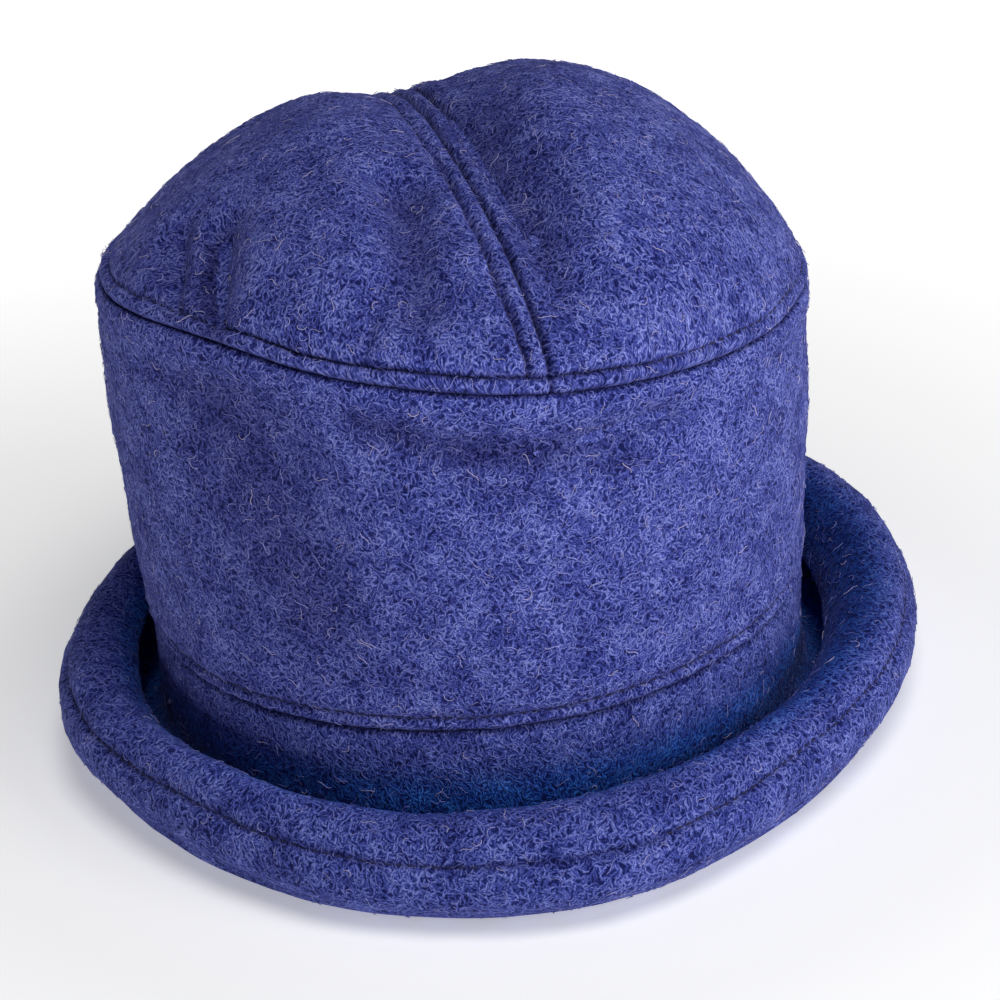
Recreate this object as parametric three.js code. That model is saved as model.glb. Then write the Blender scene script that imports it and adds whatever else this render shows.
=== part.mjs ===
// A soft felt hat with a puffed two-piece tip, an upright side band and a rolled brim.
// Millimetres, +Z up. The hat rests on its brim at z = 0, and the foot of the tip's centre seam
// faces -Y. Angles go round the hat from that front point towards +X.

import * as THREE from 'three';

const FELT = 2.2;              // thickness of the crown's felt
const BRIM_FELT = 3;           // thickness of the brim, which is two plies
const TOUCH = 0.1;             // brim felt this near the table is pressed flat on it
const SEAM_GAP = 0.3;          // clearance between pieces that are sewn edge to edge
const STATIONS = 72;           // sections cut round the hat

const HEAD_SEAM_HEIGHT = 44;   // height of the brim seam above the table
const TIP_CENTRE_HEIGHT = 141; // height of the tip seam's plane at the middle of the hat
const FOLD_HEIGHT = 15;        // height of the brim's outermost line
const ROLL_TOP = 27.4;         // height of the roll as the section below draws it
const TUCK_FOLLOWS = 0.3;      // share of the roll's reach that its tucked edge follows

// The brim in section, as a path along the middle of its felt. It starts at the brim seam, heading
// straight down. Each stretch is straight or turns outward and up by so many degrees.
const BRIM_SECTION = [
  { stretch: 'collar', length: 29.35, radius: 0, turn: 0, steps: 1 },
  { stretch: 'heel', length: 0, radius: 13, turn: 90, steps: 2 },
  { stretch: 'rest', length: 5.5, radius: 0, turn: 0, steps: 1 },
  { stretch: 'rise', length: 0, radius: 12, turn: 50, steps: 2 },
  { stretch: 'slope', length: 4.5, radius: 0, turn: 0, steps: 1 },
  { stretch: 'fold', length: 0, radius: 8, turn: 70, steps: 3 },
  { stretch: 'curl', length: 0, radius: 26, turn: 20, steps: 1 },
  { stretch: 'tuck', length: 0, radius: 9, turn: 95, steps: 3 },
];

// The crown at every 30 degrees from the front. head is its radius at the brim seam. The tip seam
// has a radius and a height. shoulder rounds the tip's edge (2 is a quarter ellipse, 1 a plain
// slope) and fullness pushes the side band out between its two seams.
const CROWN = [
  { angle: 0, head: 91.5, tipRadius: 94, tipHeight: 141, shoulder: 2, fullness: 1 },
  { angle: 30, head: 91.5, tipRadius: 95.5, tipHeight: 136, shoulder: 1.8, fullness: 1 },
  { angle: 60, head: 92, tipRadius: 97, tipHeight: 132.5, shoulder: 1.5, fullness: 1.2 },
  { angle: 90, head: 92.5, tipRadius: 97, tipHeight: 130.5, shoulder: 1.35, fullness: 1.2 },
  { angle: 120, head: 93, tipRadius: 97, tipHeight: 131, shoulder: 1.4, fullness: 1.5 },
  { angle: 150, head: 93, tipRadius: 97, tipHeight: 134, shoulder: 1.4, fullness: 1.5 },
  { angle: 180, head: 93, tipRadius: 97, tipHeight: 137, shoulder: 1.5, fullness: 1.5 },
  { angle: 210, head: 94, tipRadius: 97.5, tipHeight: 140.5, shoulder: 1.3, fullness: 2 },
  { angle: 240, head: 95, tipRadius: 98, tipHeight: 144, shoulder: 1, fullness: 3 },
  { angle: 270, head: 95, tipRadius: 96.5, tipHeight: 149.5, shoulder: 1, fullness: 3 },
  { angle: 300, head: 93.5, tipRadius: 91.5, tipHeight: 152.5, shoulder: 1.2, fullness: 1.8 },
  { angle: 330, head: 92, tipRadius: 92.5, tipHeight: 147.5, shoulder: 1.7, fullness: 1 },
];

// The brim's roll at every 30 degrees: the height of its top, how much wider it reaches than the
// section, and how far it lifts off the table.
const BRIM_ROLL = [
  { angle: 0, top: 29, reach: 3.2, lift: 0 },
  { angle: 30, top: 28.2, reach: -4.8, lift: 0 },
  { angle: 60, top: 30.4, reach: -1, lift: 1.5 },
  { angle: 90, top: 34.4, reach: 4.8, lift: 3 },
  { angle: 120, top: 36.6, reach: 6, lift: 2.5 },
  { angle: 150, top: 36.8, reach: 2, lift: 0.5 },
  { angle: 180, top: 37.3, reach: 0.5, lift: 0 },
  { angle: 210, top: 35.5, reach: 0, lift: 0 },
  { angle: 240, top: 31.2, reach: -0.6, lift: 1 },
  { angle: 270, top: 29, reach: -2.2, lift: 3 },
  { angle: 300, top: 28.6, reach: -6, lift: 2 },
  { angle: 330, top: 28, reach: -0.3, lift: 0 },
];

// Soft hollows pressed into the side band: where each one is, its half sizes and its depth.
const BAND_DENTS = [
  { angle: -12, height: 130, halfAngle: 18, halfHeight: 6, depth: 2.5 },
  { angle: -43, height: 128, halfAngle: 13, halfHeight: 20, depth: 4 },
  { angle: 262, height: 86, halfAngle: 20, halfHeight: 16, depth: 1.2 },
];

// Folds in the tip: each is a crease between two points of its plan, with a half width and a depth.
const TIP_FOLDS = [
  { fromX: -73, fromY: -52, toX: -60, toY: -16, halfWidth: 6, depth: 4 },
  { fromX: -81, fromY: -34, toX: -73, toY: -8, halfWidth: 6, depth: 2 },
  { fromX: -44, fromY: -79, toX: -38, toY: -71, halfWidth: 7, depth: 2 },
  { fromX: -27, fromY: -69, toX: -25, toY: -40, halfWidth: 8, depth: 2 },
];

// The tip puffs up into two halves on either side of the centre seam.
const SEAM_RISE = 36.5;        // rise of the centre seam above the tip seam's plane
const LEFT_RISE = 44;
const RIGHT_RISE = 51;
const CLIMB = 0.09;            // how much the seam climbs for each millimetre towards the back
const CREST = 10;              // behind this line the tip falls away again
const FALL = 0.12;
const LEFT_VALLEY = 17;        // half widths of the valley on each side of the seam
const RIGHT_VALLEY = 26;
const TIP_ROUNDNESS = 2.8;     // exponent of the tip's profile, 2 being round

const SEAM_LEAN = 20;          // degrees that the tip seam's edges lean up from level
const FRONT = new THREE.Vector2(0, -1);

function radians(degrees) {
  return degrees * Math.PI / 180;
}

function outward(angle) {
  return FRONT.clone().rotateAround(new THREE.Vector2(), radians(angle));
}

// Value of one column of a table at any angle, on a smooth closed curve through its rows.
function around(table, column, angle) {
  const rows = table.length;
  const place = THREE.MathUtils.euclideanModulo(angle, 360) / 360 * rows;
  const row = Math.floor(place);
  const t = place - row;
  const [a, b, c, d] = [-1, 0, 1, 2].map((step) => table[(row + step + rows) % rows][column]);
  return b + t * ((c - a) / 2 + t * (a - 2.5 * b + 2 * c - d / 2 + t * ((d - a) / 2 + 1.5 * (b - c))));
}

function bell(distance, halfWidth) {
  return Math.exp(-((distance / halfWidth) ** 2));
}

function angleBetween(a, b) {
  return THREE.MathUtils.euclideanModulo(a - b + 180, 360) - 180;
}

function pointAt(angle, radius, height) {
  const direction = outward(angle);
  return new THREE.Vector3(direction.x * radius, direction.y * radius, height);
}

// Outer face of the side band, from the brim seam (part 0) to the tip seam (part 1).
function bandPoint(angle, part) {
  const { lerp } = THREE.MathUtils;
  const height = lerp(HEAD_SEAM_HEIGHT, around(CROWN, 'tipHeight', angle), part);
  let radius = lerp(around(CROWN, 'head', angle), around(CROWN, 'tipRadius', angle), part);
  radius += around(CROWN, 'fullness', angle) * Math.sin(Math.PI * part) ** 0.6;
  const inside = Math.sin(Math.PI * part);
  for (const dent of BAND_DENTS) {
    const across = bell(angleBetween(angle, dent.angle), dent.halfAngle);
    radius -= dent.depth * across * bell(height - dent.height, dent.halfHeight) * inside;
  }
  return pointAt(angle, radius, height);
}

function foldDepth(x, y) {
  const point = new THREE.Vector3(x, y, 0);
  const nearest = new THREE.Vector3();
  let depth = 0;
  for (const fold of TIP_FOLDS) {
    const from = new THREE.Vector3(fold.fromX, fold.fromY, 0);
    const line = new THREE.Line3(from, new THREE.Vector3(fold.toX, fold.toY, 0));
    line.closestPointToPoint(point, true, nearest);
    depth += fold.depth * bell(point.distanceTo(nearest), fold.halfWidth);
  }
  return depth;
}

// Height of the tip's outer face over a point of its plan.
function tipHeight(x, y) {
  const angle = THREE.MathUtils.radToDeg(Math.atan2(x, -y));
  const spread = Math.min(Math.hypot(x, y) / around(CROWN, 'tipRadius', angle), 1);
  const seamHeight = around(CROWN, 'tipHeight', angle);
  const plane = THREE.MathUtils.lerp(TIP_CENTRE_HEIGHT, seamHeight, spread ** 2);
  const dome = (1 - spread ** TIP_ROUNDNESS) ** (1 / around(CROWN, 'shoulder', angle));
  const valley = bell(x, x < 0 ? LEFT_VALLEY : RIGHT_VALLEY);
  const climb = CLIMB * y - FALL * Math.max(y - CREST, 0);
  const puff = THREE.MathUtils.lerp(x < 0 ? LEFT_RISE : RIGHT_RISE, SEAM_RISE, valley) + climb;
  const quiet = 1 - spread ** 8;
  return plane + puff * dome - foldDepth(x, y) * quiet;
}

// Direction in which the felt's thickness is laid off along the tip seam.
function seamNormal(angle) {
  const direction = outward(angle).multiplyScalar(Math.cos(radians(SEAM_LEAN)));
  return new THREE.Vector3(direction.x, direction.y, Math.sin(radians(SEAM_LEAN)));
}

function bandNormal(angle, part) {
  const step = 0.01;
  const low = bandPoint(angle, Math.max(part - step, 0));
  const up = bandPoint(angle, Math.min(part + step, 1)).sub(low);
  const along = bandPoint(angle + 1, part).sub(bandPoint(angle - 1, part));
  return along.cross(up).normalize();
}

function tipNormal(x, y) {
  const step = 0.5;
  const keep = 0.995;
  const slopeX = tipHeight(x * keep + step, y * keep) - tipHeight(x * keep - step, y * keep);
  const slopeY = tipHeight(x * keep, y * keep + step) - tipHeight(x * keep, y * keep - step);
  return new THREE.Vector3(-slopeX, -slopeY, 2 * step).normalize();
}

// Closed mesh from loops of points, each joined to the next and the last to the first.
function ringSolid(loops) {
  const count = loops[0].length;
  const index = [];
  loops.forEach((loop, i) => {
    const here = i * count;
    const next = ((i + 1) % loops.length) * count;
    for (let j = 0; j < count; j += 1) {
      const k = (j + 1) % count;
      index.push(here + j, next + j, next + k, here + j, next + k, here + k);
    }
  });
  return solid(loops.flat(), index);
}

function solid(points, index) {
  const geometry = new THREE.BufferGeometry().setFromPoints(points);
  geometry.setIndex(index);
  geometry.computeVertexNormals();
  return geometry;
}

function sectionsRound(makeLoop) {
  return Array.from({ length: STATIONS }, (_, i) => makeLoop(i * 360 / STATIONS));
}

function sideBand() {
  const rows = 10;
  const lift = SEAM_GAP / 2;
  return ringSolid(sectionsRound((angle) => {
    const outer = [];
    const inner = [];
    for (let i = 0; i <= rows; i += 1) {
      const part = i / rows;
      const point = bandPoint(angle, part);
      let normal = bandNormal(angle, part);
      if (i === 0) normal = pointAt(angle, 1, 0);
      if (i === rows) normal = seamNormal(angle);
      if (i === 0) point.z += lift;
      if (i === rows) point.z -= lift;
      outer.push(point);
      inner.push(point.clone().addScaledVector(normal, -FELT));
    }
    return [...outer, ...inner.reverse()];
  }));
}

// Middle line of the brim's felt at one angle, as points of radius and height.
function brimLine(angle) {
  const seamRadius = around(CROWN, 'head', angle) - BRIM_FELT / 2;
  const place = new THREE.Vector2(seamRadius, HEAD_SEAM_HEIGHT - SEAM_GAP / 2);
  const points = [place.clone()];
  let heading = radians(-90);
  for (const { length, radius, turn, steps } of BRIM_SECTION) {
    for (let i = 0; i < steps; i += 1) {
      const bend = radians(turn) / steps;
      const chord = length / steps + 2 * radius * Math.sin(bend / 2);
      const course = heading + bend / 2;
      place.add(new THREE.Vector2(Math.cos(course), Math.sin(course)).multiplyScalar(chord));
      heading += bend;
      points.push(place.clone());
    }
  }
  const [top, reach, lift] = ['top', 'reach', 'lift'].map((name) => around(BRIM_ROLL, name, angle));
  const stretch = (top - FOLD_HEIGHT) / (ROLL_TOP - FOLD_HEIGHT);
  const heelStart = seamRadius + 2;
  const restEnd = seamRadius + 20;
  const { lerp, smoothstep } = THREE.MathUtils;
  let rolled = false;
  for (const point of points.slice(2)) {
    const { x, y } = point;
    rolled = rolled || (y > FOLD_HEIGHT && x > restEnd);
    if (rolled) {
      point.y = lift + FOLD_HEIGHT + (y - FOLD_HEIGHT) * stretch;
      point.x += reach * lerp(TUCK_FOLLOWS, 1, smoothstep(x, seamRadius + 12, seamRadius + 28));
    } else {
      point.y += lift * smoothstep(x, heelStart, restEnd);
      point.x += reach * smoothstep(x, restEnd, restEnd + 10);
    }
  }
  return points;
}

function brim() {
  const half = BRIM_FELT / 2;
  return ringSolid(sectionsRound((angle) => {
    const line = brimLine(angle);
    const last = line.length - 1;
    const under = [];
    const upper = [];
    line.forEach((point, i) => {
      const along = line[Math.min(i + 1, last)].clone().sub(line[Math.max(i - 1, 0)]).normalize();
      if (i === 0) along.set(0, -1);
      const side = new THREE.Vector2(along.y, -along.x).multiplyScalar(half);
      under.push(point.clone().add(side));
      upper.push(point.clone().sub(side));
    });
    const lipWay = line[last].clone().sub(line[last - 1]).normalize();
    const edge = line[last].clone().addScaledVector(lipWay, half);
    const loop = [...under, edge, ...upper.reverse()];
    return loop.map((point) => pointAt(angle, point.x, point.y < TOUCH ? 0 : point.y));
  }));
}

// One half of the tip. Rows run out from the centre seam to each station of the tip seam.
function tipHalf(side) {
  const rows = STATIONS / 2;
  const columns = 14;
  const points = [];
  const stride = columns + 1;
  const half = rows + 1;
  for (const layer of [0, 1]) {
    for (let i = 0; i <= rows; i += 1) {
      const angle = side * i * 360 / STATIONS;
      const edge = outward(angle).multiplyScalar(around(CROWN, 'tipRadius', angle));
      for (let j = 0; j <= columns; j += 1) {
        const part = Math.sin(Math.PI / 2 * j / columns) ** 1.4;
        const x = edge.x * part;
        const y = edge.y;
        const point = new THREE.Vector3(x, y, tipHeight(x, y));
        const normal = tipNormal(x, y);
        if (j === 0) normal.setX(0).normalize();
        if (j === columns || i === 0 || i === rows) normal.copy(seamNormal(angle));
        if (layer === 1) point.addScaledVector(normal, -FELT);
        if (j === columns || i === 0 || i === rows) point.z += SEAM_GAP / 2;
        point.x = side * Math.max(side * point.x, SEAM_GAP / 2);
        points.push(point);
      }
    }
  }
  const at = (layer, i, j) => {
    const column = i === 0 || i === rows ? 0 : j;
    return layer * half * stride + i * stride + column;
  };
  const index = [];
  const face = (...corners) => {
    const order = side > 0 ? corners : corners.reverse();
    for (let k = 1; k + 1 < order.length; k += 1) {
      const triangle = [order[0], order[k], order[k + 1]];
      if (new Set(triangle).size === 3) index.push(...triangle);
    }
  };
  for (let i = 0; i < rows; i += 1) {
    for (let j = 0; j < columns; j += 1) {
      face(at(0, i, j), at(0, i, j + 1), at(0, i + 1, j + 1), at(0, i + 1, j));
      face(at(1, i, j), at(1, i + 1, j), at(1, i + 1, j + 1), at(1, i, j + 1));
    }
    face(at(0, i, 0), at(0, i + 1, 0), at(1, i + 1, 0), at(1, i, 0));
    face(at(0, i, columns), at(1, i, columns), at(1, i + 1, columns), at(0, i + 1, columns));
  }
  return solid(points, index);
}

const felt = new THREE.MeshStandardMaterial({ color: 0x3a4182, roughness: 0.95, metalness: 0 });
const brimFelt = new THREE.MeshStandardMaterial({ color: 0x363e7c, roughness: 0.95, metalness: 0 });

const hat = new THREE.Group();
hat.name = 'felt_hat';
const pieces = [
  { name: 'brim', geometry: brim(), material: brimFelt },
  { name: 'side_band', geometry: sideBand(), material: felt },
  { name: 'tip_left', geometry: tipHalf(-1), material: felt },
  { name: 'tip_right', geometry: tipHalf(1), material: felt },
];
for (const piece of pieces) {
  const mesh = new THREE.Mesh(piece.geometry, piece.material);
  mesh.name = piece.name;
  hat.add(mesh);
}

// The origin is under the middle of the hat's box.
const middle = new THREE.Box3().setFromObject(hat).getCenter(new THREE.Vector3());
hat.position.set(-middle.x, -middle.y, 0);

export default hat;
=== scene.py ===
import math

import bpy
import numpy as np
from mathutils import Matrix, Vector, noise


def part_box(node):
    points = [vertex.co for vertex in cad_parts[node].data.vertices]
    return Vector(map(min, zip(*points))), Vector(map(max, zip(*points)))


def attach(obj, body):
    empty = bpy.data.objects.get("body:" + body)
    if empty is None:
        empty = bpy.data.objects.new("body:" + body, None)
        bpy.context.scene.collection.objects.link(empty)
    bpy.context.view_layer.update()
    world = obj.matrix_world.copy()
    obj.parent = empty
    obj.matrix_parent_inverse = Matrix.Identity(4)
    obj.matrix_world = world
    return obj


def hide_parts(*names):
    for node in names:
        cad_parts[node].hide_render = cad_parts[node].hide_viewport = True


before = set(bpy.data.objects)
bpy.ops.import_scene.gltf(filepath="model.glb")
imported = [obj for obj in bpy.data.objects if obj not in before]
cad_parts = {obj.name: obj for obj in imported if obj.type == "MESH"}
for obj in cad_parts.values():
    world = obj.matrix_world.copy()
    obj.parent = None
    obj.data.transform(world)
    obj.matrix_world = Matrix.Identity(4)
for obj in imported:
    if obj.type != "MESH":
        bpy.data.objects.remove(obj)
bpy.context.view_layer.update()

# The hat's own axis. Its patterns below are drawn round it in millimetres, and the solids put it
# a little off the origin, because the origin is under the middle of the box.
SEAM_GAP = 0.3
BACK_TIP_RADIUS = 97
axis_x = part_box("tip_left")[1].x * 1000 + SEAM_GAP / 2
axis_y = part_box("tip_left")[1].y * 1000 - BACK_TIP_RADIUS
HAT_AXIS = np.array([axis_x, axis_y, 0.0])


# The camera looks down on the hat's front a little from its left, tilted a few degrees, with a
# long lens. The sizes are those of the square picture.
CAMERA_AZIMUTH = math.radians(-14)
CAMERA_ELEVATION = math.radians(27.5)
CAMERA_ROLL = math.radians(-5)
CAMERA_DISTANCE = 0.9
CAMERA_LENS = 113.4
AIM_HEIGHT = 0.08
AIM_RIGHT = 0.00855
AIM_UP = -0.01269
SENSOR_WIDTH = 36
NEAREST_SEEN = 0.05
FARTHEST_SEEN = 20


def new_object(name, data):
    """An object, put in the scene."""
    made = bpy.data.objects.new(name, data)
    bpy.context.scene.collection.objects.link(made)
    return made


level = math.cos(CAMERA_ELEVATION)
camera_back = Vector((math.sin(CAMERA_AZIMUTH) * level, -math.cos(CAMERA_AZIMUTH) * level,
                      math.sin(CAMERA_ELEVATION)))
level_right = Vector((math.cos(CAMERA_AZIMUTH), math.sin(CAMERA_AZIMUTH), 0))
level_up = camera_back.cross(level_right)
camera_right = level_right * math.cos(CAMERA_ROLL) + level_up * math.sin(CAMERA_ROLL)
camera_up = camera_back.cross(camera_right)
aim = Vector(HAT_AXIS / 1000) + Vector((0, 0, AIM_HEIGHT))
camera_place = aim + camera_right * AIM_RIGHT + camera_up * AIM_UP + camera_back * CAMERA_DISTANCE
camera_data = bpy.data.cameras.new("camera")
camera_data.lens = CAMERA_LENS
camera_data.sensor_width = SENSOR_WIDTH
camera_data.clip_start = NEAREST_SEEN
camera_data.clip_end = FARTHEST_SEEN
camera = new_object("camera", camera_data)
camera.matrix_world = Matrix.LocRotScale(
    camera_place, Matrix((camera_right, camera_up, camera_back)).transposed().to_quaternion(), None)
bpy.context.scene.camera = camera


# Side band: one strip of thick wool felt, sewn into a ring. Its top edge is seamed to the tip and
# its foot to the brim, both turned inside, so each edge rolls into a narrow groove. A second row
# of stitching runs just above the brim seam.
CROWN_FELT = 2.2
HEAD_SEAM_HEIGHT = 44
SEAM_LEAN = math.radians(20)
# The crown's form, one value every 30 degrees round the hat from its front. The head is its inner
# radius at the brim seam.
CROWN = {
    "head": [91.5, 91.5, 92, 92.5, 93, 93, 93, 94, 95, 95, 93.5, 92],
    "tip_radius": [94, 95.5, 97, 97, 97, 97, 97, 97.5, 98, 96.5, 91.5, 92.5],
    "tip_height": [141, 136, 132.5, 130.5, 131, 134, 137, 140.5, 144, 149.5, 152.5, 147.5],
    "shoulder": [2, 1.8, 1.5, 1.35, 1.4, 1.4, 1.5, 1.3, 1, 1, 1.2, 1.7],
    "fullness": [1, 1, 1.2, 1.2, 1.5, 1.5, 1.5, 2, 3, 3, 1.8, 1],
}
BAND_DENTS = [
    dict(angle=-12, height=130, half_angle=18, half_height=6, depth=2.5),
    dict(angle=-43, height=128, half_angle=13, half_height=20, depth=4),
    dict(angle=262, height=86, half_angle=20, half_height=16, depth=1.2),
]


def around(table, column, angle):
    """One column of a table at any angle, on a smooth closed curve through its rows."""
    values = np.array(table[column], float)
    count = len(values)
    place = (np.asarray(angle, float) % 360) / 360 * count
    row = np.floor(place).astype(int)
    t = place - row
    a, b, c, d = (values[(row + step) % count] for step in (-1, 0, 1, 2))
    curve = (d - a) / 2 + 1.5 * (b - c)
    return b + t * ((c - a) / 2 + t * (a - 2.5 * b + 2 * c - d / 2 + t * curve))


def bell(distance, half_width):
    """A soft bump: 1 at no distance, and little left past the half width."""
    return np.exp(-((distance / half_width) ** 2))


def smooth(value, low, high):
    """A soft step: 0 up to the low value, 1 from the high one."""
    t = np.clip((value - low) / (high - low), 0, 1)
    return t * t * (3 - 2 * t)


def stand(angle, radius, height):
    """Points at an angle round the hat from its front, a radius and a height."""
    turn = np.radians(angle)
    return np.stack(np.broadcast_arrays(np.sin(turn) * radius, -np.cos(turn) * radius, height), -1)


def unit(vectors):
    """The same directions, each of length one."""
    return vectors / np.linalg.norm(vectors, axis=-1, keepdims=True)


def faces_out(points, closed):
    """Unit normals of a grid whose first way runs round the hat and second way runs up it."""
    if closed:
        round_way = np.roll(points, -1, 0) - np.roll(points, 1, 0)
    else:
        round_way = np.gradient(points, axis=0)
    return unit(np.cross(round_way, np.gradient(points, axis=1)) + 1e-12)


def length_along(points):
    """Distance walked along the second way of a grid, from its first column."""
    steps = np.linalg.norm(np.diff(points, axis=1), axis=-1)
    return np.concatenate([np.zeros((len(points), 1)), np.cumsum(steps, 1)], 1)


def lumps(points, size, shift=0.0):
    """Smooth unevenness from -1 to 1, over a grid of points in millimetres."""
    flat = points.reshape(-1, 3) / size + shift
    values = [noise.noise(Vector(point)) for point in flat]
    return np.array(values).reshape(points.shape[:-1])


def soft_felt(points):
    """How far soft felt swells and sinks by itself."""
    return 0.9 * lumps(points, 34) + 0.4 * lumps(points, 13, 7.3) + 0.16 * lumps(points, 5, 3.1)


def band_surface(angle, part):
    """The band's plain surface, at an angle and a part of the way up from its foot to its top."""
    height = HEAD_SEAM_HEIGHT + part * (around(CROWN, "tip_height", angle) - HEAD_SEAM_HEIGHT)
    head = around(CROWN, "head", angle)
    radius = head + part * (around(CROWN, "tip_radius", angle) - head)
    arch = np.sin(np.pi * part)
    radius = radius + around(CROWN, "fullness", angle) * arch ** 0.6
    for dent in BAND_DENTS:
        across = (angle - dent["angle"] + 180) % 360 - 180
        hollow = bell(across, dent["half_angle"]) * bell(height - dent["height"],
                                                         dent["half_height"])
        radius = radius - dent["depth"] * hollow * arch
    return stand(angle, radius, height)


def seam_way(angle):
    """Direction that the felt's thickness takes along the tip seam."""
    return stand(angle, math.cos(SEAM_LEAN), math.sin(SEAM_LEAN))


CROWD_SAMPLES = 4001


def crowd(count, places, width, strength):
    """Steps from 0 to 1, closer together round some places."""
    t = np.linspace(0, 1, CROWD_SAMPLES)
    density = 1 + strength * sum(bell(t - place, width) for place in places)
    walk = np.concatenate([[0], np.cumsum((density[1:] + density[:-1]) / 2)])
    return np.interp(np.linspace(0, walk[-1], count + 1), walk, t)


def waver(points):
    """How far a hand-guided seam strays from its line."""
    return 0.5 * lumps(points, 14, 4.0) + 0.22 * lumps(points, 5, 9.0)


def line_at(points, measure, value):
    """The line on a grid of points where a measure, taken along its second way, has a value."""
    line = []
    for row, marks in zip(points, measure):
        if marks[0] > marks[-1]:
            row, marks = row[::-1], marks[::-1]
        marks = np.maximum.accumulate(marks)
        if marks[0] < value < marks[-1]:
            line.append([np.interp(value, marks, row[:, axis]) for axis in range(3)])
    return np.array(line)


def mesh_piece(name, points, faces, marks, corners):
    """A mesh object from points in millimetres round the hat's axis, with named point values and
    a map of the felt: where each face corner lies on the flat cloth, in millimetres."""
    mesh = bpy.data.meshes.new(name)
    mesh.from_pydata(((points + HAT_AXIS) / 1000).tolist(), [], faces)
    for mark, values in marks.items():
        attribute = mesh.attributes.new(mark, "FLOAT", "POINT")
        attribute.data.foreach_set("value", np.asarray(values, np.float32).reshape(-1))
    felt_map = mesh.uv_layers.new(name="felt")
    felt_map.data.foreach_set("uv", np.asarray(corners, np.float32).reshape(-1))
    mesh.polygons.foreach_set("use_smooth", [True] * len(mesh.polygons))
    mesh.update()
    return new_object(name, mesh)


def ring_faces(stations, count):
    """Faces of a tube bent into a ring: sections round the hat, each a closed loop of points."""
    here = np.arange(stations)[:, None] * count
    ahead = np.roll(here, -1, 0)
    j = np.arange(count)[None, :]
    k = (j + 1) % count
    return np.stack([here + j, ahead + j, ahead + k, here + k], -1).reshape(-1, 4).tolist()


def ring_corners(along, radius):
    """The felt map of ring_faces, cut open at the back of the hat."""
    girth = math.tau * radius
    stations, count = along.shape
    turn = np.arange(stations)
    turn = np.where(turn < stations // 2, turn, turn - stations)[:, None]
    turn = np.repeat(turn, count, 1)
    here, ahead = turn * girth / stations, (turn + 1) * girth / stations
    after = np.roll(along, -1, 0)
    return np.stack([here, along, ahead, after, ahead, np.roll(after, -1, 1),
                     here, np.roll(along, -1, 1)], -1)


def fold_distance(x, y, fold, stretch=1.0):
    """Distance from a fold's line, with x stretched first if it isn't in millimetres."""
    start, end = np.array(fold["start"], float), np.array(fold["end"], float)
    start[0], end[0] = start[0] * stretch, end[0] * stretch
    way = end - start
    x, y = x * stretch - start[0], y - start[1]
    t = np.clip((x * way[0] + y * way[1]) / (way @ way), 0, 1)
    return np.hypot(x - t * way[0], y - t * way[1])


def along_lines(table, lines, amount):
    """The ridges or shades of a table, each along the line that its row names."""
    for row in table:
        distance, strength = lines[row["line"]]
        yield row[amount] * bell(distance - row.get("place", 0), row["half_width"]) * strength


BAND_STATIONS = 540
BAND_ROWS = 96
BAND_INNER_ROWS = 12
BAND_RADIUS = 93
BAND_MAP_RADIUS = 95
EDGE_BLEND = 2.5
BARE_EDGE = (0.6, 2.5)
SEAM_WIDTH = 0.8
SECOND_ROW = 4.4
PUCKERS = dict(size=4.5, shift=11.0)
FINE_PUCKERS = dict(size=2.4, shift=6.0)
BAND_RIDGES = [
    dict(line="top", half_width=SEAM_WIDTH, height=-1.2),
    dict(line="foot", half_width=SEAM_WIDTH, height=-1.2),
    dict(line="top", place=4.5, half_width=3, height=0.8),
    dict(line="second_row", half_width=1.1, height=-0.8),
    dict(line="second_row", place=-2.2, half_width=1.2, height=0.4),
    dict(line="second_row", place=3.6, half_width=3, height=0.5),
]
BAND_SHADES = [
    dict(line="top", half_width=SEAM_WIDTH, shade=0.58),
    dict(line="foot", half_width=SEAM_WIDTH, shade=0.55),
    dict(line="second_row", half_width=0.9, shade=0.5),
]
BAND_PUCKERS = [
    dict(pattern=PUCKERS, height=0.4, top_reach=5, foot_reach=7),
    dict(pattern=FINE_PUCKERS, height=0.3, top_reach=2, foot_reach=3),
]
BAND_FOLDS = [
    dict(start=(-31, 136), end=(-17, 128), half_width=5.5, depth=2.0),
    dict(start=(-17, 128), end=(-3, 124), half_width=5.5, depth=2.4),
    dict(start=(-3, 124), end=(20, 128), half_width=5.5, depth=2.0),
    dict(start=(-2, 121), end=(13, 116), half_width=4.0, depth=1.2),
    dict(start=(-16, 119), end=(-4, 113), half_width=5.0, depth=0.9),
    dict(start=(-58, 134), end=(-44, 84), half_width=20.0, depth=1.7),
]
FOLDS_START = (3, 13)
DARKEST_FOLD = 3

station = np.arange(BAND_STATIONS)[:, None] * 360 / BAND_STATIONS
rows = crowd(BAND_ROWS, (0, 1), 0.07, 2.4)
band_base = band_surface(station, rows[None, :])
band_base[:, 0, 2] += SEAM_GAP / 2
band_base[:, -1, 2] -= SEAM_GAP / 2
band_out = faces_out(band_base, closed=True)
band_climb = length_along(band_base)
from_top = band_climb[:, -1:] - band_climb
top_blend = np.exp(-from_top / EDGE_BLEND)[..., None]
foot_blend = np.exp(-band_climb / EDGE_BLEND)[..., None]
band_way = unit(band_out * (1 - top_blend) * (1 - foot_blend)
                + seam_way(station) * top_blend + stand(station, 1, 0) * foot_blend)
above_row = band_climb + waver(band_base) - SECOND_ROW
band_lines = {"top": (from_top, 1), "foot": (band_climb, 1), "second_row": (above_row, 1)}
band_relief = soft_felt(band_base)
for ridge in along_lines(BAND_RIDGES, band_lines, "height"):
    band_relief += ridge
for pucker in BAND_PUCKERS:
    near = np.exp(-from_top / pucker["top_reach"]) + np.exp(-band_climb / pucker["foot_reach"])
    band_relief += pucker["height"] * lumps(band_base, **pucker["pattern"]) * near

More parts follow.
